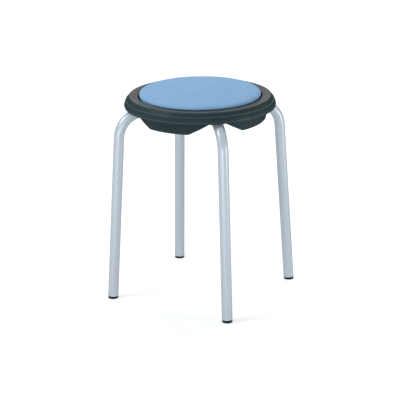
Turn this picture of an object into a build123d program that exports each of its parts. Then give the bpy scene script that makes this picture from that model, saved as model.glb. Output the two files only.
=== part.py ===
from build123d import *
from math import acos, atan2, cos, hypot, radians, sin, sqrt, tan
import os

# A stacking stool: a round padded seat in a black moulded surround, on a welded frame of
# bent steel tube. Z is up, the floor is Z = 0 and the seat turns about the Z axis.
# The four legs stand on the diagonals, so the front, -Y, lies between two legs.

# Driving dimensions, in millimetres and degrees.

# The stool as a whole
seat_height = 449.5  # floor to the top of the pad's crown
seat_diameter = 320.0  # across the widest part of the base's rim
ring_width = 31.8  # from the widest part of the rim in to the widest part of the pad

# Tube frame
tube_diameter = 22.2
tube_wall = 1.2
bend_radius = 55.0  # on the tube's centre line
leg_splay = 3.65  # lean of each leg from upright
foot_overhang = 39.5  # how far the feet's centres stand out past the seat
cope_blunt = 4.0  # the coped ends stop this far from the loop's middle line
weld_gap = 0.05
weld_leg = 2.6  # thickness of a weld bead
plate_weld_length = 22.0
plate_bead = 4.2  # radius of the beads under the plate

# Mounting plate and the bolts through it
plate_diameter = 120.0
plate_thickness = 3.2
bolt_circle_radius = 45.0
bolt_diameter = 6.0
bolt_clearance = 0.3  # round the bolt in the holes it passes through
bolt_head_width = 10.0  # across the flats
bolt_head_height = 4.0
spring_washer_thickness = 1.5
flat_washer_thickness = 1.6
flat_washer_diameter = 14.0
spring_washer_diameter = 11.0

# Moulded base
base_wall = 3.0
frame_clearance = 0.35  # between the tubes and the base's floor above them
plate_clearance = 4.0  # round the plate in the base's recess
rim_upstand = 3.35  # the rim rises this far above the floor and hides the ring's foot
rim_bulge = 2.4  # how far the rim swells out below its top edge
rim_edge = 0.6  # width of the rim's top edge
rim_swell_height = 4.5  # height of the widest part above the rim's lower edge
rim_clearance = 4.0  # between the rim's lower edge and the bent tubes
lobe_depth = 34.6  # how far the lobes hang below the base's floor
lobe_setback = 13.5  # from the inside of the rim in to the lobes
lobe_draft = 6.5  # lean of the lobes' outer walls from upright
lobe_channel = 5.9  # free space on each side of a tube, between the lobes
lobe_spread = 56.4  # half of the gap between two lobes at their lower faces
lobe_break = 12.8  # the lobes' end walls drop this far before they slope
lobe_inner_gap = 6.0  # from the recess for the plate out to the lobes
lobe_nose = 11.0  # width of a lobe's inner end at its lower face
lobe_round = 8.0
rib_thickness = 2.0
rib_step = 15.0  # angle between the ribs behind the rim
ribs_each_side = 2  # of the middle of each lobe
rib_drop = 5.0

# Moulded ring
ring_rise = 10.3  # the ring's crest stands this far above the rim
ring_wall = 2.8
ring_lean = 32.0  # lean of its outer wall from upright
ring_dish = 4.5  # fall of its top from the crest in to the pad
ring_shoulder = 3.5  # radius of the crest between the wall and the top
ring_lip_round = 1.5
ring_fit = 0.3  # between the ring and the inside of the rim
pad_gap = 2.2  # between the pad and the ring

# Tapping screws that hold the ring
ring_screw_count = 8
ring_screw_diameter = 4.0
ring_screw_length = 10.0
ring_screw_head_diameter = 8.0
ring_screw_head_height = 2.6
ring_boss_diameter = 9.0
screw_hole_clearance = 0.1

# Upholstered pad
cover_thickness = 1.0
foam_thickness = 16.1  # at the middle
board_thickness = 5.5
crown_rise = 2.3  # the middle of the pad stands this far above its edge
pad_edge_round = 8.7
pad_draw_in = 2.6  # the sides are drawn in this far where they go down to the board
hem_width = 18.0  # the cover turned in under the board
soft_clearance = 0.2

# Tee nuts and staples in the board
nut_barrel_diameter = 7.8
nut_flange_diameter = 18.0
nut_flange_thickness = 1.5
nut_barrel_setback = 0.5  # the barrel stops this far above the board's underside
nut_clearance = 0.1
staple_count = 16
staple_crown = 10.0
staple_wire = 0.6
staple_width = 1.2
staple_depth = 4.0  # how far its legs go into the board
staple_clearance = 0.1

# Foot plugs
foot_lip = 5.5  # height of the tube's end above the floor
foot_inset = 0.3  # the lip is smaller than the tube by this much all round
foot_stem_length = 22.0
foot_stem_wall = 2.4
foot_stem_clearance = 0.15
foot_groove_depth = 0.8
foot_groove_count = 3
foot_groove_height = 3.0
foot_sole_round = 1.0

# Worked out from the driving dimensions

tube_radius = tube_diameter / 2
tube_bore = tube_radius - tube_wall
seat_radius = seat_diameter / 2

board_top = seat_height - cover_thickness - foam_thickness
board_bottom = board_top - board_thickness
plate_top = board_bottom - base_wall
plate_bottom = plate_top - plate_thickness
run_height = plate_bottom - weld_gap - tube_radius
floor_bottom = run_height + tube_radius + frame_clearance
floor_top = floor_bottom + base_wall
rim_top = floor_top + rim_upstand
rim_inner = seat_radius - rim_bulge - rim_edge
ring_top = rim_top + ring_rise
lobe_bottom = floor_bottom - lobe_depth

pad_radius = seat_radius - ring_width
ring_inner = pad_radius + pad_gap
pad_side = pad_radius - pad_draw_in
board_radius = pad_side - cover_thickness - soft_clearance
hem_bottom = board_bottom - soft_clearance - cover_thickness
hem_inner = board_radius - hem_width

foot_circle = seat_radius + foot_overhang
leg_lean = tan(radians(leg_splay))
corner_radius = foot_circle - run_height * leg_lean
bend_height = run_height - bend_radius
bend_centre = foot_circle - bend_height * leg_lean - bend_radius / cos(radians(leg_splay))

# The rim ends a little above the bent tubes that pass under it.
bend_outside = bend_radius + tube_radius
rim_bottom = bend_height + sqrt(bend_outside**2 - (rim_inner - bend_centre) ** 2) + rim_clearance
rim_widest = rim_bottom + rim_swell_height
rim_arc = ((rim_top - rim_widest) ** 2 + rim_bulge**2) / (2 * rim_bulge)

recess_radius = plate_diameter / 2 + plate_clearance
lobe_radius = rim_inner - lobe_setback
lobe_inner = recess_radius + lobe_inner_gap
nose_radius = hypot(lobe_spread * sqrt(2) + lobe_nose / 2, lobe_nose / 2)
screw_circle = (lobe_radius + rim_inner) / 2
bolt_hole = bolt_diameter / 2 + bolt_clearance

# The legs stand half a step round from the X axis, where the first bolt and lobe are.
leg_names = ["back_right", "back_left", "front_left", "front_right"]
leg_step = 360 / len(leg_names)
leg_angles = {name: leg_step * (index + 0.5) for index, name in enumerate(leg_names)}


def turned(*edges):
    """Turn a closed outline of (radius, height) edges about the seat's axis."""
    return revolve(Plane.XZ * make_face(edges), Axis.Z)


def pillar(radius, bottom, top):
    """An upright cylinder on the axis between two heights."""
    return Pos(0, 0, (bottom + top) / 2) * Cylinder(radius, top - bottom)


def block(length, width, bottom, top):
    """An upright box on the axis between two heights, with its length along X."""
    return Pos(0, 0, (bottom + top) / 2) * Box(length, width, top - bottom)


def upright_plane(angle):
    """The plane through the seat's axis with (radius, height) at that angle from +X."""
    across = (cos(radians(angle)), sin(radians(angle)), 0)
    normal = (sin(radians(angle)), -cos(radians(angle)), 0)
    return Plane(origin=(0, 0, 0), x_dir=across, z_dir=normal)


def round_bar(radius, angle, start, end):
    """A level bar along the tube runs, at the height of their middle line."""
    plane = Plane(
        origin=(start * cos(radians(angle)), start * sin(radians(angle)), run_height),
        z_dir=(cos(radians(angle)), sin(radians(angle)), 0),
    )
    return extrude(plane * Circle(radius), end - start)


def bent_tube(angle, points):
    """Sweep the tube along (radius, height) points with the frame's bend at each corner."""
    path = upright_plane(angle) * FilletPolyline(*points, radius=bend_radius)
    start = Plane(origin=path @ 0, z_dir=path % 0)
    outside = sweep(start * Circle(tube_radius), path)
    bore = sweep(start * Circle(tube_bore), path)
    return outside - bore


# Tube frame

foot_point = (foot_circle - foot_lip * leg_lean, foot_lip)
corner_point = (corner_radius, run_height)
mirrored_corner = (-corner_radius, run_height)
mirrored_foot = (-foot_point[0], foot_lip)

loop_angle = leg_angles["back_right"]
frame_loop = bent_tube(loop_angle, [mirrored_foot, mirrored_corner, corner_point, foot_point])
loop_bar = round_bar(tube_radius + weld_gap, loop_angle, -corner_radius, corner_radius)
blunt_bar = block(2 * corner_radius, 2 * cope_blunt, run_height - tube_diameter, run_height + tube_diameter)
blunt_bar = Rot(0, 0, loop_angle) * blunt_bar


def coped_leg(name):
    """A leg whose level run is coped to the side of the loop."""
    tube = bent_tube(leg_angles[name], [(0, run_height), corner_point, foot_point])
    return tube - loop_bar - blunt_bar


front_right_leg = coped_leg("front_right")
back_left_leg = coped_leg("back_left")


def cross_weld(name):
    """The bead round a coped end, where a skin on the leg meets a skin on the loop."""
    angle = leg_angles[name]
    leg_skin = round_bar(tube_radius + weld_leg, angle, cope_blunt, bend_radius)
    leg_skin -= round_bar(tube_radius + weld_gap, angle, 0, corner_radius)
    loop_skin = round_bar(tube_radius + weld_leg, loop_angle, -bend_radius, bend_radius)
    bead = leg_skin & loop_skin
    plate_space = block(plate_diameter, plate_diameter, plate_bottom - weld_gap, plate_top)
    return bead - loop_bar - plate_space


cross_welds = [cross_weld("front_right"), cross_weld("back_left")]


def plate_weld(angle, side):
    """A bead in the corner between the plate's underside and the side of a tube."""
    start = plate_diameter / 2 - plate_weld_length
    offset = side * (tube_radius - weld_leg)
    bead = extrude(Plane.YZ * Pos(offset, 0) * Circle(plate_bead), plate_weld_length)
    bead = Pos(start, 0, plate_bottom - weld_gap - weld_leg) * bead
    plate_space = block(2 * corner_radius, 2 * tube_diameter, plate_bottom - weld_gap, board_bottom)
    bead = Rot(0, 0, angle) * (bead - plate_space)
    return bead - round_bar(tube_radius + weld_gap, angle, 0, corner_radius)


plate_welds = []
for angle in leg_angles.values():
    for side in (-1, 1):
        plate_welds.append(plate_weld(angle, side))

# Mounting plate with its four bolts, on the X and Y axes between the tubes

bolt_places = PolarLocations(bolt_circle_radius, len(leg_names))
mounting_plate = pillar(plate_diameter / 2, plate_bottom, plate_top)
flat_washer_bottom = plate_bottom - flat_washer_thickness
spring_washer_bottom = flat_washer_bottom - spring_washer_thickness
bolt_head_bottom = spring_washer_bottom - bolt_head_height
nut_flange_bottom = board_top - nut_flange_thickness
nut_barrel_bottom = board_bottom + nut_barrel_setback

bolt_bore = pillar(bolt_hole, spring_washer_bottom, seat_height)
mounting_plate -= bolt_places * bolt_bore

bolt_head = extrude(
    Pos(0, 0, bolt_head_bottom) * RegularPolygon(bolt_head_width / 2, 6, major_radius=False),
    bolt_head_height,
)
bolt = bolt_head + pillar(bolt_diameter / 2, bolt_head_bottom, nut_flange_bottom)
flat_washer = pillar(flat_washer_diameter / 2, flat_washer_bottom, plate_bottom) - bolt_bore
spring_washer = pillar(spring_washer_diameter / 2, spring_washer_bottom, flat_washer_bottom) - bolt_bore
nut = pillar(nut_flange_diameter / 2, nut_flange_bottom, board_top)
nut += pillar(nut_barrel_diameter / 2, nut_barrel_bottom, board_top)
nut -= pillar(bolt_diameter / 2 + nut_clearance, nut_barrel_bottom, board_top)

seat_bolts = [place * bolt for place in bolt_places]
flat_washers = [place * flat_washer for place in bolt_places]
spring_washers = [place * spring_washer for place in bolt_places]
board_nuts = [place * nut for place in bolt_places]

# Upholstered pad: board, foam, cover and the staples in its hem

edge_centre_radius = pad_radius - pad_edge_round
edge_centre_height = seat_height - crown_rise - pad_edge_round
edge_below_top = seat_height - edge_centre_height
crown_radius = (edge_centre_radius**2 + edge_below_top**2 - pad_edge_round**2) / (2 * crown_rise)
crown_angle = atan2(edge_centre_height - seat_height + crown_radius, edge_centre_radius)


def edge_point(angle, inset):
    """A point on the pad's rounded edge, moved inwards by inset."""
    reach = pad_edge_round - inset
    return (edge_centre_radius + reach * cos(angle), edge_centre_height + reach * sin(angle))


def crown_edges(inset):
    """The rounded edge and the crown, from the drawn-in side up to the middle."""
    low_angle = -acos((pad_side - inset - edge_centre_radius) / (pad_edge_round - inset))
    mid_angle = (low_angle + crown_angle) / 2
    reach = crown_radius - inset
    half_angle = (crown_angle + radians(90)) / 2
    crown_centre = seat_height - crown_radius
    crown_middle = (reach * cos(half_angle), crown_centre + reach * sin(half_angle))
    low = edge_point(low_angle, inset)
    high = edge_point(crown_angle, inset)
    edge = ThreePointArc(low, edge_point(mid_angle, inset), high)
    crown = ThreePointArc(high, crown_middle, (0, seat_height - inset))
    return low, [edge, crown]


outer_low, outer_edges = crown_edges(0)
inner_low, inner_edges = crown_edges(cover_thickness)
inner_side = pad_side - cover_thickness
hem_top = hem_bottom + cover_thickness
seat_cover = turned(
    Polyline((hem_inner, hem_bottom), (pad_side, hem_bottom), outer_low),
    *outer_edges,
    Line((0, seat_height), (0, seat_height - cover_thickness)),
    *inner_edges,
    Polyline(inner_low, (inner_side, hem_top), (hem_inner, hem_top)),
    Line((hem_inner, hem_top), (hem_inner, hem_bottom)),
)

foam_inset = cover_thickness + soft_clearance
foam_low, foam_edges = crown_edges(foam_inset)
seat_foam = turned(
    Polyline((0, board_top), (board_radius, board_top), foam_low),
    *foam_edges,
    Line((0, seat_height - foam_inset), (0, board_top)),
)

seat_board = pillar(board_radius, board_bottom, board_top)
nut_hole = pillar(nut_barrel_diameter / 2 + nut_clearance, board_bottom, board_top)
nut_hole += pillar(nut_flange_diameter / 2 + nut_clearance, nut_flange_bottom, board_top)
seat_board -= bolt_places * nut_hole


def staple_form(grow):
    """A staple under the hem, with its legs up in the board, grown all round by grow."""
    width = staple_width + 2 * grow
    foot = hem_bottom - staple_wire - grow
    body = block(width, staple_crown + 2 * grow, foot, hem_bottom + grow)
    leg = block(width, staple_wire + 2 * grow, foot, board_bottom + staple_depth + grow)
    leg_offset = (staple_crown - staple_wire) / 2
    for side in (-1, 1):
        body += Pos(0, side * leg_offset, 0) * leg
    return body


staple_places = PolarLocations(board_radius - hem_width / 2, staple_count)
cover_staples = [place * staple_form(0) for place in staple_places]
staple_slots = staple_places * staple_form(staple_clearance)
seat_board -= staple_slots
seat_cover -= staple_slots

# Moulded base: floor, recess over the plate, rim and lobes

rim_arc_centre = seat_radius - rim_arc


def rim_point(height):
    """A point on the rim's swelling outside."""
    return (rim_arc_centre + sqrt(rim_arc**2 - (height - rim_widest) ** 2), height)


step_radius = recess_radius + base_wall
seat_base = turned(
    Polyline(
        (0, board_bottom),
        (0, plate_top),
        (recess_radius, plate_top),
        (recess_radius, floor_bottom),
        (rim_inner, floor_bottom),
        (rim_inner, rim_bottom),
        rim_point(rim_bottom),
    ),
    ThreePointArc(rim_point(rim_bottom), (seat_radius, rim_widest), rim_point(rim_top)),
    Polyline(
        rim_point(rim_top),
        (rim_inner, rim_top),
        (rim_inner, floor_top),
        (step_radius, floor_top),
        (step_radius, board_bottom),
        (0, board_bottom),
    ),
)


def lobe_form(shrink, top):
    """The lobe between the two right legs up to a height, with every wall moved inwards by shrink."""
    bottom = lobe_bottom + shrink
    break_height = floor_bottom - lobe_break
    slope = (lobe_spread - lobe_channel - tube_radius) / (break_height - lobe_bottom)
    lean = sqrt(1 + slope**2)
    channel = tube_radius + lobe_channel + shrink
    # The sloping wall moves square to itself, so its edges move along the walls beside it.
    slope_break = break_height + shrink * (lean - 1) / slope
    spread = channel + (slope_break - bottom) * slope

    def outer_wall(height):
        return lobe_radius - shrink - (floor_bottom - height) * tan(radians(lobe_draft))

    def inner_wall(height):
        return lobe_inner + shrink + (floor_bottom - height) * (nose_radius - lobe_inner) / lobe_depth

    section = make_face(
        Polyline(
            (inner_wall(bottom), bottom),
            (outer_wall(bottom), bottom),
            (outer_wall(top), top),
            (inner_wall(top), top),
            close=True,
        )
    )
    first_leg = upright_plane(leg_angles["front_right"])
    body = revolve(first_leg * section, Axis.Z, revolution_arc=leg_step)
    gap = make_face(
        Polyline(
            (-channel, top),
            (-channel, slope_break),
            (-spread, bottom),
            (spread, bottom),
            (channel, slope_break),
            (channel, top),
            close=True,
        )
    )
    for name in ("back_right", "back_left"):
        across_run = upright_plane(leg_angles[name] + 90)
        body -= extrude(across_run * gap, seat_diameter, both=True)
    low_edges = body.edges().filter_by(lambda edge: edge.center().Z < top - base_wall)
    return fillet(low_edges, lobe_round - shrink)


lobe_turns = PolarLocations(0, len(leg_names))
lobe = lobe_form(0, floor_top)
hollow = lobe_form(base_wall, floor_top + base_wall)
rib_overlap = base_wall / 2  # the ribs run this far into the walls that they join
rib_length = rim_inner - lobe_radius + 2 * rib_overlap
rib = block(rib_length, rib_thickness, floor_bottom - rib_drop, floor_bottom + rib_overlap)
rib = Pos((lobe_radius + rim_inner) / 2, 0, 0) * rib
seat_base += lobe_turns * lobe
for step in range(-ribs_each_side, ribs_each_side + 1):
    seat_base += lobe_turns * (Rot(0, 0, step * rib_step) * rib)
seat_base -= lobe_turns * hollow
seat_base -= bolt_places * bolt_bore

screw_places = PolarLocations(screw_circle, ring_screw_count, start_angle=180 / ring_screw_count)
screw_hole = ring_screw_diameter / 2 + screw_hole_clearance
seat_base -= screw_places * pillar(screw_hole, floor_bottom, floor_top)

# Moulded ring round the pad, a channel that is open below

ring_foot = rim_inner - ring_fit
wall_lean = radians(ring_lean)
top_fall = radians(ring_dish)
crest_height = ring_top - ring_shoulder
wall_at_crest = ring_foot - (crest_height - rim_top) * tan(wall_lean)
crest_radius = wall_at_crest - ring_shoulder / cos(wall_lean)


def ring_form(inset):
    """The ring's section moved in from its skin: wall, rounded crest and dished top, turned."""
    reach = ring_shoulder - inset
    foot = ring_foot - inset / cos(wall_lean)
    inside = ring_inner + inset

    def crest_point(angle):
        return (crest_radius + reach * cos(angle), crest_height + reach * sin(angle))

    wall_end = crest_point(wall_lean)
    top_start = crest_point(radians(90) + top_fall)
    crest_middle = crest_point((wall_lean + radians(90) + top_fall) / 2)
    lip_height = top_start[1] - (top_start[0] - inside) * tan(top_fall)
    section = make_face(
        [
            Polyline((inside, floor_top), (foot, floor_top), (foot, rim_top), wall_end),
            ThreePointArc(wall_end, crest_middle, top_start),
            Polyline(top_start, (inside, lip_height), (inside, floor_top)),
        ]
    )
    lip = section.vertices().sort_by_distance(Vector(inside, lip_height, 0))[0]
    return revolve(Plane.XZ * fillet(lip, ring_lip_round), Axis.Z)


ring_skin = ring_form(0)
seat_ring = ring_skin - ring_form(ring_wall)
ring_boss = pillar(ring_boss_diameter / 2, floor_top, ring_top)
for place in screw_places:
    seat_ring += (place * ring_boss) & ring_skin
screw_tip = floor_bottom + ring_screw_length
seat_ring -= screw_places * pillar(screw_hole, floor_top, screw_tip + screw_hole_clearance)

screw_foot = floor_bottom - ring_screw_head_height
screw = pillar(ring_screw_head_diameter / 2, screw_foot, floor_bottom)
screw += pillar(ring_screw_diameter / 2, screw_foot, screw_tip)
ring_screws = [place * screw for place in screw_places]

# Foot plugs in the tube ends, with soles that lie flat on the floor


def foot_plug(name):
    """The plug in one leg: a lip under the tube's end and a grooved hollow stem inside it."""
    stem = tube_bore - foot_stem_clearance
    hollow_radius = stem - foot_stem_wall
    lip = tube_radius - foot_inset
    profile = [(0, -2 * foot_lip), (lip, -2 * foot_lip), (lip, 0), (stem, 0)]
    pitch = foot_stem_length / foot_groove_count
    for index in range(foot_groove_count):
        low = index * pitch + (pitch - foot_groove_height) / 2
        high = low + foot_groove_height
        waist = stem - foot_groove_depth
        profile += [(stem, low), (waist, low), (waist, high), (stem, high)]
    profile += [(stem, foot_stem_length), (hollow_radius, foot_stem_length)]
    profile += [(hollow_radius, foot_lip), (0, foot_lip)]
    plug = turned(Polyline(*profile, close=True))
    plug = Pos(foot_point[0], 0, foot_point[1]) * Rot(0, -leg_splay, 0) * plug
    plug -= Pos(foot_circle, 0, 0) * block(2 * tube_diameter, 2 * tube_diameter, -tube_diameter, 0)
    sole = plug.faces().sort_by(Axis.Z)[0]
    return Rot(0, 0, leg_angles[name]) * fillet(sole.edges(), foot_sole_round)


nodes = {
    "seat_cover": [seat_cover],
    "seat_foam": [seat_foam],
    "seat_board": [seat_board],
    "cover_staples": cover_staples,
    "board_nuts": board_nuts,
    "seat_ring": [seat_ring],
    "ring_screws": ring_screws,
    "seat_base": [seat_base],
    "mounting_plate": [mounting_plate],
    "seat_bolts": seat_bolts,
    "spring_washers": spring_washers,
    "flat_washers": flat_washers,
    "frame_loop": [frame_loop],
    "front_right_leg": [front_right_leg],
    "back_left_leg": [back_left_leg],
    "cross_welds": cross_welds,
    "plate_welds": plate_welds,
}
for name in leg_angles:
    nodes["foot_" + name] = [foot_plug(name)]

os.makedirs("parts", exist_ok=True)
for name, pieces in nodes.items():
    solids = [solid for piece in pieces for solid in piece.solids()]
    shape = solids[0] if len(solids) == 1 else Compound(children=solids)
    export_step(shape, os.path.join("parts", name + ".step"))
    print(name, len(solids), "solid(s)", round(sum(solid.volume for solid in solids)), "mm3")
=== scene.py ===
# %% [markdown]
# # A stacking stool, dressed around its measured frame
#
# The stool is a round vinyl pad in a black moulded surround, on four legs of silver-painted steel
# tube. The frame holds every rigid piece at its real size and place, so this lesson never moves
# one: it gives each a finish, and it makes new pieces only where the solids are too plain, the
# soft pad and two thin beads. Blender works in metres here, and lengths are written in
# millimetres times `MM`.

# %% Load the frame
import math

import bpy
import numpy as np
from mathutils import Matrix, Vector


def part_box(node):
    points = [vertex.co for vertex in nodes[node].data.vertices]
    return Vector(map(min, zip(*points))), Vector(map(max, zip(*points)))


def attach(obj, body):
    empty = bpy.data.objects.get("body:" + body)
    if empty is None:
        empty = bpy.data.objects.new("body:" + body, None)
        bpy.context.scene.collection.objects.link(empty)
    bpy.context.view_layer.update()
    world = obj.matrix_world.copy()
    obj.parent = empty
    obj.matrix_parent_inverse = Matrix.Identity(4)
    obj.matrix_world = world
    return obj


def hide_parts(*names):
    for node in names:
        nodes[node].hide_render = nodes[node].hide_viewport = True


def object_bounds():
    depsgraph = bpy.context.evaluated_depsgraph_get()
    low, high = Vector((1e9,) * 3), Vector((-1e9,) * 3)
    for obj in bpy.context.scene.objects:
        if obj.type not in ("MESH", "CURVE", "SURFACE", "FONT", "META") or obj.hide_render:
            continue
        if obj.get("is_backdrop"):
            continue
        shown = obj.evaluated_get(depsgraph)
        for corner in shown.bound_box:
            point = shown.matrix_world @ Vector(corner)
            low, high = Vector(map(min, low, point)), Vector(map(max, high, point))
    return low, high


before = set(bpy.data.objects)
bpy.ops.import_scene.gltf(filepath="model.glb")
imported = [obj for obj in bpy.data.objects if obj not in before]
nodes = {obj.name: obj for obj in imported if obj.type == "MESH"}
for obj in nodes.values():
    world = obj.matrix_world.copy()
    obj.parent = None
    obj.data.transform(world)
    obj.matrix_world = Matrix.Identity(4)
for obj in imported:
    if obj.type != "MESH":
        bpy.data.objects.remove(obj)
frame_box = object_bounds()
scene = bpy.context.scene
scene.view_settings.view_transform = "Standard"
MM = 0.001
print(len(nodes), "nodes, box", [round(v / MM, 1) for v in frame_box[1] - frame_box[0]], "mm")

# %% [markdown]
# ## Camera
#
# The picture was taken from over three metres with a long lens, from a little above the seat
# and between two legs. A camera is easiest to check when it is built from what can be measured:
# the direction to the lens, the distance, the point that it looks at and its small roll.


# %% Camera
def direction(azimuth, elevation):
    """Unit vector from the stool towards a place: azimuth 0 is the front, -Y, and 90 is +X."""
    turn = math.radians(azimuth)
    rise = math.radians(elevation)
    return Vector((math.sin(turn) * math.cos(rise), -math.cos(turn) * math.cos(rise), math.sin(rise)))


view_azimuth = 30.14
view_elevation = 18.53
view_distance = 3320.9 * MM
view_target = Vector((-2.2, -1.3, 202.7)) * MM
view_roll = math.radians(-0.68)

camera = bpy.data.objects.new("camera", bpy.data.cameras.new("camera"))
camera.data.sensor_width = 36.0
camera.data.lens = 138.7
towards_lens = direction(view_azimuth, view_elevation)
facing = towards_lens.to_track_quat("Z", "Y").to_matrix().to_4x4()
place = Matrix.Translation(view_target + towards_lens * view_distance)
camera.matrix_world = place @ facing @ Matrix.Rotation(view_roll, 4, "Z")
scene.collection.objects.link(camera)
scene.camera = camera
print("camera at", [round(v / MM) for v in camera.location], "mm")

# %% [markdown]
# ## Shader nodes
#
# Every finish below is a small net of shader nodes. One function adds a node: its settings, the
# numbers on its sockets and the links into them. Colours are written as the sRGB hex values that
# a colour picker shows, and one function turns them into the linear values that light needs.


# %% Shader nodes
def add_node(tree, kind, values=None, links=None, **settings):
    """Add a shader node with its settings, its sockets' values and the sockets linked into it."""
    node = tree.nodes.new(kind)
    for name, value in settings.items():
        setattr(node, name, value)
    for socket, value in (values or {}).items():
        node.inputs[socket].default_value = value
    for socket, source in (links or {}).items():
        tree.links.new(source, node.inputs[socket])
    return node


def linear(hex_colour):
    """sRGB hex to linear RGBA: c / 12.92 below 0.04045, else ((c + 0.055) / 1.055) ** 2.4."""
    channels = np.array([int(hex_colour[i : i + 2], 16) for i in (0, 2, 4)]) / 255
    low = channels / 12.92
    high = ((channels + 0.055) / 1.055) ** 2.4
    return (*np.where(channels <= 0.04045, low, high).tolist(), 1.0)


def set_stops(ramp, *stops):
    """Give a colour ramp its two stops, each a position and a hex colour."""
    for element, (position, hex_colour) in zip(ramp.color_ramp.elements, stops):
        element.position = position
        element.color = linear(hex_colour)


def new_material(name):
    """An empty material and its node tree, ready for a finish."""
    material = bpy.data.materials.new(name)
    material.use_nodes = True
    material.node_tree.nodes.clear()
    return material, material.node_tree


def per_mm(size):
    """The scale of a noise or cell pattern whose features are this many millimetres wide."""
    return 1 / (size * MM)


# %% [markdown]
# ## Studio
#
# The stool stands in a white studio under broad soft lamps. White comes from the colour of the
# surroundings, not from more light: what the camera, reflections and glass see of the world has a
# strength of 1, while the light that falls on the stool is a plain grey level. The floor keeps
# the stool's soft shadow: it is lifted to the same white, but less round the stool than far off.

# %% World
world = bpy.data.worlds.new("white_studio")
world.use_nodes = True
scene.world = world
tree = world.node_tree
tree.nodes.clear()
fill_level = 0.42


def sees_white(tree):
    """1 for rays from the camera, a reflection or glass, and 0 for the light that falls on things."""
    path = add_node(tree, "ShaderNodeLightPath")
    seen = add_node(
        tree,
        "ShaderNodeMath",
        links={0: path.outputs["Is Camera Ray"], 1: path.outputs["Is Glossy Ray"]},
        operation="MAXIMUM",
    )
    return add_node(
        tree,
        "ShaderNodeMath",
        links={0: seen.outputs[0], 1: path.outputs["Is Transmission Ray"]},
        operation="MAXIMUM",
    ).outputs[0]


white = sees_white(tree)
fill = add_node(tree, "ShaderNodeBackground", {"Color": linear("F4F7FA"), "Strength": fill_level})
backdrop = add_node(tree, "ShaderNodeBackground", {"Color": linear("FFFFFF"), "Strength": 1.0})
mixed = add_node(tree, "ShaderNodeMixShader", links={0: white, 1: fill.outputs[0], 2: backdrop.outputs[0]})
add_node(tree, "ShaderNodeOutputWorld", links={"Surface": mixed.outputs[0]})
print("world fill", fill_level)

# %% Floor
floor_half = 12.0  # metres, as are all the lengths of the studio
corners = np.array([(-1, -1, 0), (1, -1, 0), (1, 1, 0), (-1, 1, 0)]) * floor_half
floor_mesh = bpy.data.meshes.new("floor")
floor_mesh.from_pydata(corners.tolist(), [], [(0, 1, 2, 3)])
floor = bpy.data.objects.new("floor", floor_mesh)
scene.collection.objects.link(floor)
floor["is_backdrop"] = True

near_reach = 0.5
near_lift = 0.46
far_reach = 2.5
far_lift = 0.72
material, tree = new_material("white_floor")
white = sees_white(tree)
coords = add_node(tree, "ShaderNodeTexCoord").outputs["Object"]
away = add_node(tree, "ShaderNodeVectorMath", links={0: coords}, operation="LENGTH")
lift = add_node(
    tree,
    "ShaderNodeMapRange",
    {"From Min": near_reach, "From Max": far_reach, "To Min": near_lift, "To Max": far_lift},
    {"Value": away.outputs["Value"]},
)
matt = add_node(tree, "ShaderNodeBsdfDiffuse", {"Color": linear("E4E6E8")})
glow = add_node(tree, "ShaderNodeEmission", {"Color": linear("FFFFFF")}, {"Strength": lift.outputs[0]})
lifted = add_node(tree, "ShaderNodeAddShader", links={0: matt.outputs[0], 1: glow.outputs[0]})
mixed = add_node(tree, "ShaderNodeMixShader", links={0: white, 1: matt.outputs[0], 2: lifted.outputs[0]})
add_node(tree, "ShaderNodeOutputMaterial", links={"Surface": mixed.outputs[0]})
floor_mesh.materials.append(material)
print("floor", 2 * floor_half, "m wide")

# %% [markdown]
# ## Lamps
#
# Four soft boxes light the stool. The key lamp at the left draws the highlights on the black
# surround, and the top lamp, behind the stool, evens out the pad. A low wide lamp in front lights
# the legs without reaching under the pad's edge, and a small one at the right rounds them off.


# %% Lamps
def softbox(name, azimuth, elevation, distance, width, height, power):
    """An area lamp of this many watts that looks at the middle of the stool from a distance."""
    lamp = bpy.data.objects.new(name, bpy.data.lights.new(name, "AREA"))
    lamp.data.shape = "RECTANGLE"
    lamp.data.size = width
    lamp.data.size_y = height
    lamp.data.energy = power
    lamp.visible_camera = False
    way = direction(azimuth, elevation)
    lamp.location = view_target + way * distance
    lamp.rotation_mode = "QUATERNION"
    lamp.rotation_quaternion = way.to_track_quat("Z", "Y")
    scene.collection.objects.link(lamp)
    return lamp


front_lamp = softbox("front_lamp", view_azimuth - 18, 0.5, 3.0, 2.8, 0.36, 29.0)
key_lamp = softbox("key_lamp", view_azimuth - 72, 41, 2.6, 0.9, 0.7, 23.0)
top_lamp = softbox("top_lamp", view_azimuth + 165, 64, 2.4, 1.8, 1.2, 20.5)
strip_lamp = softbox("strip_lamp", view_azimuth + 66, 4, 1.8, 0.4, 0.5, 9.0)
print("lamps", [lamp.data.energy for lamp in (front_lamp, key_lamp, top_lamp, strip_lamp)], "W")

# %% [markdown]
# ## Black moulded polypropylene
#
# The ring and the base are injection moulded, with a fine grain that leaves them satin and almost
# black. Some choices here are fits to the picture, not known facts about the plastic. The gloss is
# far below the usual 0.5. Level tops are painted a lighter grey, a painted sheen, so the tone
# follows how far a face looks up. Steep faces would mirror the white studio at a glancing angle
# and come out too pale, so their roughness rises there. The thin beads have to show as bright
# lines, so they are glossier than the faces beside them, as if they were rubbed smooth.

# %% Black polypropylene
grain_mm = 0.9  # the real grain is about half of this, which is too fine to show
cloud_mm = 35.0
steep_upward = 0.85  # a face is steep when its normal points up less than this
level_upward = 0.99  # and level when it points up more than this
glancing_start = 0.35  # Layer Weight's facing value runs from 0 face on to 1 edge on
glancing_full = 0.75


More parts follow.
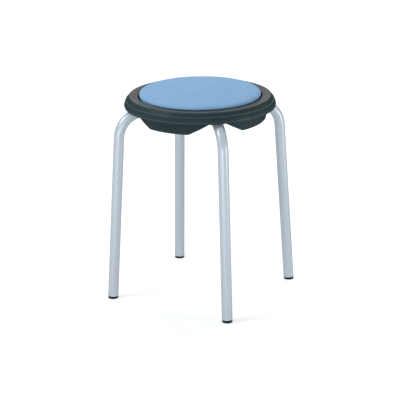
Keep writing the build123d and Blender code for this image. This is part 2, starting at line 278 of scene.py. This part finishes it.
def moulded_plastic(name, painted_sheen_colour, roughness, gloss):
    """Grained black plastic with a painted sheen on level tops and more scatter on steep faces."""
    material, tree = new_material(name)
    coords = add_node(tree, "ShaderNodeTexCoord").outputs["Object"]
    grain = add_node(
        tree,
        "ShaderNodeTexNoise",
        {"Scale": per_mm(grain_mm), "Detail": 3.0, "Roughness": 0.6},
        {"Vector": coords},
    )
    bump = add_node(
        tree, "ShaderNodeBump", {"Strength": 0.25, "Distance": 0.05 * MM}, {"Height": grain.outputs["Fac"]}
    )
    normal = add_node(tree, "ShaderNodeNewGeometry").outputs["Normal"]
    upward = add_node(tree, "ShaderNodeSeparateXYZ", links={"Vector": normal}).outputs["Z"]
    tone = add_node(tree, "ShaderNodeValToRGB", links={"Fac": upward})
    # painted sheen: faces that look up are painted lighter than steep ones
    set_stops(tone, (steep_upward, "253538"), (level_upward, painted_sheen_colour))
    cloud = add_node(
        tree, "ShaderNodeTexNoise", {"Scale": per_mm(cloud_mm), "Detail": 2.0}, {"Vector": coords}
    )
    rough = add_node(
        tree,
        "ShaderNodeMapRange",
        {"From Min": 0.3, "From Max": 0.7, "To Min": roughness[0], "To Max": roughness[1]},
        {"Value": cloud.outputs["Fac"]},
    )
    steep = add_node(
        tree,
        "ShaderNodeMapRange",
        {"From Min": steep_upward, "From Max": level_upward, "To Min": 1.0},
        {"Value": upward, "To Max": rough.outputs[0]},
    )
    facing = add_node(tree, "ShaderNodeLayerWeight", {"Blend": 0.5}).outputs["Facing"]
    glancing = add_node(
        tree,
        "ShaderNodeMapRange",
        {"From Min": glancing_start, "From Max": glancing_full},
        {"Value": facing, "To Min": rough.outputs[0], "To Max": steep.outputs[0]},
    )
    shader = add_node(
        tree,
        "ShaderNodeBsdfPrincipled",
        {"IOR": 1.49, "Specular IOR Level": gloss},
        {"Base Color": tone.outputs[0], "Roughness": glancing.outputs[0], "Normal": bump.outputs[0]},
    )
    add_node(tree, "ShaderNodeOutputMaterial", links={"Surface": shader.outputs[0]})
    return material


# the second colour is the painted sheen on level tops
black_polypropylene = moulded_plastic("black_polypropylene", "444749", (0.4, 0.48), 0.1)
rubbed_polypropylene = moulded_plastic("rubbed_polypropylene", "2C3A3D", (0.26, 0.34), 0.36)

# %% [markdown]
# ## Silver paint
#
# The tubes are stove-enamelled in a silver grey: aluminium flake in a clear resin over steel.
# Flake spreads the highlight into long soft streaks along a tube, so the paint is part metal and
# part plain grey, with a slight orange peel from spraying. How much of it is metal, and its low,
# tinted gloss, are fits to the picture.

# %% Silver paint
flake_mm = 0.7  # drawn coarser than real flake, which is finer than a hair
peel_mm = 3.0
material, tree = new_material("silver_paint")
coords = add_node(tree, "ShaderNodeTexCoord").outputs["Object"]
flake = add_node(tree, "ShaderNodeTexVoronoi", {"Scale": per_mm(flake_mm)}, {"Vector": coords})
tone = add_node(tree, "ShaderNodeValToRGB", links={"Fac": flake.outputs["Distance"]})
set_stops(tone, (0.0, "BBC4CC"), (1.0, "B0BAC3"))
peel = add_node(tree, "ShaderNodeTexNoise", {"Scale": per_mm(peel_mm), "Detail": 1.0}, {"Vector": coords})
bump = add_node(
    tree, "ShaderNodeBump", {"Strength": 0.15, "Distance": 0.03 * MM}, {"Height": peel.outputs["Fac"]}
)
shader = add_node(
    tree,
    "ShaderNodeBsdfPrincipled",
    {"Metallic": 0.3, "Roughness": 0.36, "Specular IOR Level": 0.1, "Specular Tint": linear("707880")},
    {"Base Color": tone.outputs[0], "Normal": bump.outputs[0]},
)
add_node(tree, "ShaderNodeOutputMaterial", links={"Surface": shader.outputs[0]})
silver_paint = material

# %% [markdown]
# ## Small finishes
#
# The foot plugs are black polyethylene, softer and waxier than the seat. Bolts, washers, screws
# and staples are bright zinc plate over steel, and the hidden board is plywood.

# %% Black polyethylene
scuff_mm = 1.5
material, tree = new_material("black_polyethylene")
coords = add_node(tree, "ShaderNodeTexCoord").outputs["Object"]
scuff = add_node(tree, "ShaderNodeTexNoise", {"Scale": per_mm(scuff_mm), "Detail": 3.0}, {"Vector": coords})
rough = add_node(
    tree, "ShaderNodeMapRange", {"To Min": 0.4, "To Max": 0.6}, {"Value": scuff.outputs["Fac"]}
)
shader = add_node(
    tree,
    "ShaderNodeBsdfPrincipled",
    {"Base Color": linear("0B0E0F"), "IOR": 1.51, "Specular IOR Level": 0.1},
    {"Roughness": rough.outputs[0]},
)
add_node(tree, "ShaderNodeOutputMaterial", links={"Surface": shader.outputs[0]})
black_polyethylene = material

# %% Zinc plate
bloom_mm = 2.0  # zinc dulls in small cloudy patches
material, tree = new_material("zinc_plate")
coords = add_node(tree, "ShaderNodeTexCoord").outputs["Object"]
bloom = add_node(tree, "ShaderNodeTexNoise", {"Scale": per_mm(bloom_mm), "Detail": 2.0}, {"Vector": coords})
tone = add_node(tree, "ShaderNodeValToRGB", links={"Fac": bloom.outputs["Fac"]})
set_stops(tone, (0.0, "A9AFB4"), (1.0, "CFD4D8"))
shader = add_node(
    tree, "ShaderNodeBsdfPrincipled", {"Metallic": 1.0, "Roughness": 0.32}, {"Base Color": tone.outputs[0]}
)
add_node(tree, "ShaderNodeOutputMaterial", links={"Surface": shader.outputs[0]})
zinc_plate = material

# %% Birch plywood
fibre_mm = 1.2
fibre_stretch = 0.12  # fibres run along X, so the pattern is drawn out that way
material, tree = new_material("birch_plywood")
coords = add_node(tree, "ShaderNodeTexCoord").outputs["Object"]
along = add_node(tree, "ShaderNodeMapping", {"Scale": (fibre_stretch, 1.0, 1.0)}, {"Vector": coords})
fibre = add_node(
    tree, "ShaderNodeTexNoise", {"Scale": per_mm(fibre_mm), "Detail": 3.0}, {"Vector": along.outputs[0]}
)
tone = add_node(tree, "ShaderNodeValToRGB", links={"Fac": fibre.outputs["Fac"]})
set_stops(tone, (0.0, "B98F5E"), (1.0, "D9B88A"))
shader = add_node(tree, "ShaderNodeBsdfPrincipled", {"Roughness": 0.6}, {"Base Color": tone.outputs[0]})
add_node(tree, "ShaderNodeOutputMaterial", links={"Surface": shader.outputs[0]})
birch_plywood = material

# %% [markdown]
# ## Dressing the rigid pieces
#
# Each node of the frame carries a slot named for what it is made of, and the slot's name picks
# the finish. The pad's own nodes keep theirs, because the soft pad below replaces them.

# %% Dress the rigid pieces
finish_of = {
    "black_polypropylene": black_polypropylene,
    "silver_paint": silver_paint,
    "black_polyethylene": black_polyethylene,
    "zinc_steel": zinc_plate,
    "plywood": birch_plywood,
}
for node in nodes.values():
    slot = node.material_slots[0]
    slot.material = finish_of.get(slot.material.name, slot.material)
print("dressed", len(nodes), "nodes")

# %% [markdown]
# ## Moulded beads
#
# Two fine bright lines run round the surround, one where the ring meets the base and one on the
# base's rim. They are taken to be half-round beads, because a bead draws a bright line with a dark
# one under it. Each bead is a ring of circles, sunk into the wall behind it by about half.

# %% Bead shape
bead_round = 1.3 * MM
bead_sides = 16
bead_sectors = 240


def bead(name, radius, height):
    """A torus round the seat's axis: circles of bead_round, centred at a radius and a height."""
    across = np.linspace(0, 2 * np.pi, bead_sides, endpoint=False)
    around = np.linspace(0, 2 * np.pi, bead_sectors, endpoint=False)[:, None]
    points = np.empty((bead_sectors, bead_sides, 3))
    points[..., 0] = (radius + bead_round * np.cos(across)) * np.cos(around)
    points[..., 1] = (radius + bead_round * np.cos(across)) * np.sin(around)
    points[..., 2] = height + bead_round * np.sin(across)
    here = np.arange(bead_sectors * bead_sides).reshape(bead_sectors, bead_sides)
    ahead = np.roll(here, -1, axis=0)
    faces = np.stack([here, ahead, np.roll(ahead, -1, axis=1), np.roll(here, -1, axis=1)], axis=-1)
    mesh = bpy.data.meshes.new(name)
    mesh.from_pydata(points.reshape(-1, 3).tolist(), [], faces.reshape(-1, 4).tolist())
    mesh.shade_smooth()
    mesh.materials.append(rubbed_polypropylene)
    piece = bpy.data.objects.new(name, mesh)
    scene.collection.objects.link(piece)
    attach(piece, "root")
    return piece


# %% Moulded beads
rim_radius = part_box("seat_base")[1].x
ring_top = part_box("seat_ring")[1].z
ring_bead_inset = 4.1 * MM
ring_bead_drop = 9.1 * MM
rim_bead_inset = 0.9 * MM
rim_bead_drop = 19.8 * MM
ring_bead = bead("ring_bead", rim_radius - ring_bead_inset, ring_top - ring_bead_drop)
rim_bead = bead("rim_bead", rim_radius - rim_bead_inset, ring_top - rim_bead_drop)
print("beads", [len(piece.data.polygons) for piece in (ring_bead, rim_bead)], "faces")

# %% [markdown]
# ## The pad's form
#
# The pad is foam on a board, with a vinyl cover drawn down over the edge and stapled underneath.
# Its skin is a surface of revolution: a shallow crown, a rounded edge, a side that is drawn in
# and a hem turned under the board. A grid of rings alone would pinch to a point in the middle, so
# the middle is a square patch with its sides bulged, and the rings go round that.

# %% Pad sizes
cover_low, cover_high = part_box("seat_cover")
board_low, board_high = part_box("seat_board")
pad_radius = cover_high.x
pad_top = cover_high.z
hem_bottom = cover_low.z
board_radius = board_high.x
edge_round = 8.7 * MM
draw_in = 2.6 * MM
tuck_round = 3.2 * MM  # the cover turns under more sharply than it turns down
hem_width = 18.0 * MM
skin_gap = 0.2 * MM
crown_rise = 2.3 * MM
slack = 1.4 * MM  # the crown starts this much lower, and the foam's pressure fills it out
patch_radius = 52 * MM


# %% Pad profile
crown_rings = 16
edge_rings = 11
tuck_rings = 7
side_rings = 5
hem_rings = 5
pocket_wall_rings = 3
pocket_top_rings = 8


def crown_height(radius, rise):
    """Height of the crown: it falls with the square of the radius, by rise at the edge's centre."""
    start = pad_radius - edge_round
    return pad_top - (crown_rise - rise) - rise * (radius / start) ** 2


def arc(centre, radius, start, end, count):
    """Points on an arc in (radius, height), from one angle to another, in degrees."""
    angle = np.radians(np.linspace(start, end, count))
    return np.stack([centre[0] + radius * np.cos(angle), centre[1] + radius * np.sin(angle)], axis=1)


def run(start, end, count):
    """Points on a straight run in (radius, height), without its first point."""
    share = np.linspace(0, 1, count + 1)[1:, None]
    return np.asarray(start) + share * (np.asarray(end) - np.asarray(start))


def skin_rings(rise):
    """The profile's rings outside the middle patch: crown, edge, side, hem and the board's pocket."""
    crown_end = pad_radius - edge_round
    radii = np.linspace(patch_radius, crown_end, crown_rings + 1)[1:-1]
    crown = np.stack([radii, crown_height(radii, rise)], axis=1)
    tilt = math.degrees(2 * rise / crown_end)
    centre = (crown_end, pad_top - crown_rise - edge_round)
    edge = arc(centre, edge_round, 90 - tilt, 0, edge_rings)
    under = -math.degrees(math.acos(1 - draw_in / tuck_round))
    tuck = arc((pad_radius - tuck_round, centre[1]), tuck_round, 0, under, tuck_rings)[1:]
    side = run(tuck[-1], (pad_radius - draw_in, hem_bottom), side_rings)
    hem_end = board_radius - hem_width
    hem = run(side[-1], (hem_end, hem_bottom), hem_rings)
    hem_top = board_low.z - skin_gap
    pocket_radius = board_radius + skin_gap
    pocket = [
        run((hem_end, hem_top), (pocket_radius, hem_top), hem_rings),
        run((pocket_radius, hem_top), (pocket_radius, board_high.z), pocket_wall_rings),
        run((pocket_radius, board_high.z), (patch_radius, board_high.z), pocket_top_rings),
    ]
    outline = np.concatenate([crown, edge, tuck, side, hem, [(hem_end, hem_top)], *pocket])
    return outline, len(crown) + edge_rings


# %% Middle patch
patch_cells = 40
patch_share = 0.8  # of the first ring's radius, to the middle of the patch's side
patch_bulge = 0.72  # 0 would be a square and 1 a circle


def middle_patch(rise):
    """A square grid with bulged sides: x = u sqrt(1 - b v v / 2), and y with u and v swapped."""
    u, v = np.meshgrid(np.linspace(-1, 1, patch_cells + 1), np.linspace(-1, 1, patch_cells + 1))
    reach = patch_share * patch_radius
    x = reach * u * np.sqrt(1 - patch_bulge * v**2 / 2)
    y = reach * v * np.sqrt(1 - patch_bulge * u**2 / 2)
    return np.stack([x, y, crown_height(np.hypot(x, y), rise)], axis=-1).reshape(-1, 3)


def patch_border():
    """Indices of the patch's border, once round, anticlockwise from its corner at low x and y."""
    index = np.arange((patch_cells + 1) ** 2).reshape(patch_cells + 1, patch_cells + 1)
    return np.concatenate([index[0, :-1], index[:-1, -1], index[-1, :0:-1], index[:0:-1, 0]])


# %% Pad mesh
def pad_mesh(name, rise):
    """The closed skin as one mesh: the middle patch, then a ring of points for each profile point."""
    patch = middle_patch(rise)
    border = patch_border()
    sectors = len(border)
    turn = np.arctan2(-1, -1) + 2 * np.pi * np.arange(sectors) / sectors
    profile, soft_rings = skin_rings(rise)
    rings = np.empty((len(profile), sectors, 3))
    rings[..., 0] = profile[:, :1] * np.cos(turn)
    rings[..., 1] = profile[:, :1] * np.sin(turn)
    rings[..., 2] = profile[:, 1:]
    cells = np.arange((patch_cells + 1) ** 2).reshape(patch_cells + 1, patch_cells + 1)
    patch_faces = np.stack([cells[:-1, :-1], cells[:-1, 1:], cells[1:, 1:], cells[1:, :-1]], axis=-1)
    loops = np.concatenate([border[None], len(patch) + np.arange(rings[..., 0].size).reshape(-1, sectors)])
    after = np.roll(loops, -1, axis=1)
    ring_faces = np.stack([loops[:-1], loops[1:], after[1:], after[:-1]], axis=-1)
    faces = np.concatenate([patch_faces.reshape(-1, 4), ring_faces.reshape(-1, 4)]).tolist()
    faces.append(loops[-1].tolist())
    mesh = bpy.data.meshes.new(name)
    mesh.from_pydata(np.concatenate([patch, rings.reshape(-1, 3)]).tolist(), [], faces)
    mesh.validate()
    soft_count = len(patch) + soft_rings * sectors
    return mesh, soft_count


pad_skin, soft_count = pad_mesh("seat_pad", crown_rise - slack)
seat_pad = bpy.data.objects.new("seat_pad", pad_skin)
scene.collection.objects.link(seat_pad)
print("pad", len(pad_skin.vertices), "points,", soft_count, "of them soft")

# %% [markdown]
# ## Filling the pad
#
# Foam pushes the cover out until the vinyl is tight. Cloth with pressure does the same: the side,
# hem and pocket are pinned, the crown and edge are free, and twenty frames swell them. The swell
# is then scaled so that the crown reaches the height that the frame gives, and no point may leave
# its start by more than a cap or come closer to the ring than the frame allows.

# %% Cloth
swell_frames = 20


def mesh_points(mesh):
    """All of a mesh's points as an array of rows."""
    points = np.empty(len(mesh.vertices) * 3)
    mesh.vertices.foreach_get("co", points)
    return points.reshape(-1, 3)


def swollen_points(piece, free_count):
    """Run the cloth on the piece and give its points after the last frame."""
    pins = piece.vertex_groups.new(name="pinned")
    pins.add(list(range(free_count, len(piece.data.vertices))), 1.0, "REPLACE")
    cloth = piece.modifiers.new("cloth", "CLOTH")
    cloth.settings.vertex_group_mass = "pinned"
    cloth.settings.quality = 6
    cloth.settings.mass = 0.3
    cloth.settings.tension_stiffness = 30.0
    cloth.settings.compression_stiffness = 30.0
    cloth.settings.bending_stiffness = 1.0
    cloth.settings.use_pressure = True
    cloth.settings.uniform_pressure_force = 4.0
    cloth.settings.effector_weights.gravity = 0.0
    for number in range(1, swell_frames + 1):
        scene.frame_set(number)
    shape = piece.evaluated_get(bpy.context.evaluated_depsgraph_get())
    points = mesh_points(shape.data)
    piece.modifiers.remove(cloth)
    piece.vertex_groups.remove(pins)
    scene.frame_set(1)
    return points


# %% Fill the pad
swell_cap = 5 * MM
tiny = 1e-9  # keeps a still point from a division by nought
start = mesh_points(pad_skin)
move = swollen_points(seat_pad, soft_count) - start
middle = move[: (patch_cells + 1) ** 2, 2].max()
print("swell", round(middle / MM, 2), "mm at the middle")
move *= slack / middle
far = np.linalg.norm(move, axis=1, keepdims=True)
move *= np.minimum(1, swell_cap / np.maximum(far, tiny))
end = start + move
radius = np.linalg.norm(end[:, :2], axis=1, keepdims=True)
end[:, :2] *= np.minimum(1, pad_radius / np.maximum(radius, tiny))
pad_skin.vertices.foreach_set("co", end.ravel())
pad_skin.update()
print("pad top", round(end[:, 2].max() / MM, 2), "mm")

smooth = seat_pad.modifiers.new("smooth", "SUBSURF")
smooth.levels = 1
smooth.render_levels = 1
pad_skin.shade_smooth()

# %% [markdown]
# ## Blue vinyl
#
# The cover is calendered vinyl on knitted cloth, embossed with a fine leather grain: small
# pebbles with creases between them. It is nearly matt, and its blue drifts a little from place
# to place.

# %% Blue vinyl
pebble_mm = 1.6  # about half as coarse again as real leathercloth, so that it shows close up
drift_mm = 28.0  # the dye is a little uneven from place to place
material, tree = new_material("blue_vinyl")
coords = add_node(tree, "ShaderNodeTexCoord").outputs["Object"]
pebble = add_node(
    tree,
    "ShaderNodeTexVoronoi",
    {"Scale": per_mm(pebble_mm)},
    {"Vector": coords},
    feature="DISTANCE_TO_EDGE",
)
drift = add_node(tree, "ShaderNodeTexNoise", {"Scale": per_mm(drift_mm), "Detail": 2.0}, {"Vector": coords})
tone = add_node(tree, "ShaderNodeValToRGB", links={"Fac": drift.outputs["Fac"]})
set_stops(tone, (0.25, "86AED4"), (0.75, "8CB4D8"))
crease = add_node(
    tree, "ShaderNodeMapRange", {"From Min": 0.0, "From Max": 0.12}, {"Value": pebble.outputs["Distance"]}
)
bump = add_node(
    tree, "ShaderNodeBump", {"Strength": 0.35, "Distance": 0.06 * MM}, {"Height": crease.outputs[0]}
)
shader = add_node(
    tree,
    "ShaderNodeBsdfPrincipled",
    {"Roughness": 0.6, "IOR": 1.53, "Specular IOR Level": 0.06},
    {"Base Color": tone.outputs[0], "Normal": bump.outputs[0]},
)
add_node(tree, "ShaderNodeOutputMaterial", links={"Surface": shader.outputs[0]})
pad_skin.materials.append(material)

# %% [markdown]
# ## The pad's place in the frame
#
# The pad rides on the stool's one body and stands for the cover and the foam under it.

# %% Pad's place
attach(seat_pad, "root")
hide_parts("seat_cover", "seat_foam")

# %% [markdown]
# ## Sizes
#
# The dressed stool is meant to be the size of its frame, so both boxes are printed to compare.

# %% Sizes and finish
boxes = {"frame": frame_box, "visual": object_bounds()}
sizes = {name: [list(corner) for corner in box] for name, box in boxes.items()}
for name, (low, high) in sizes.items():
    print(name, [round((b - a) / MM, 1) for a, b in zip(low, high)], "mm")
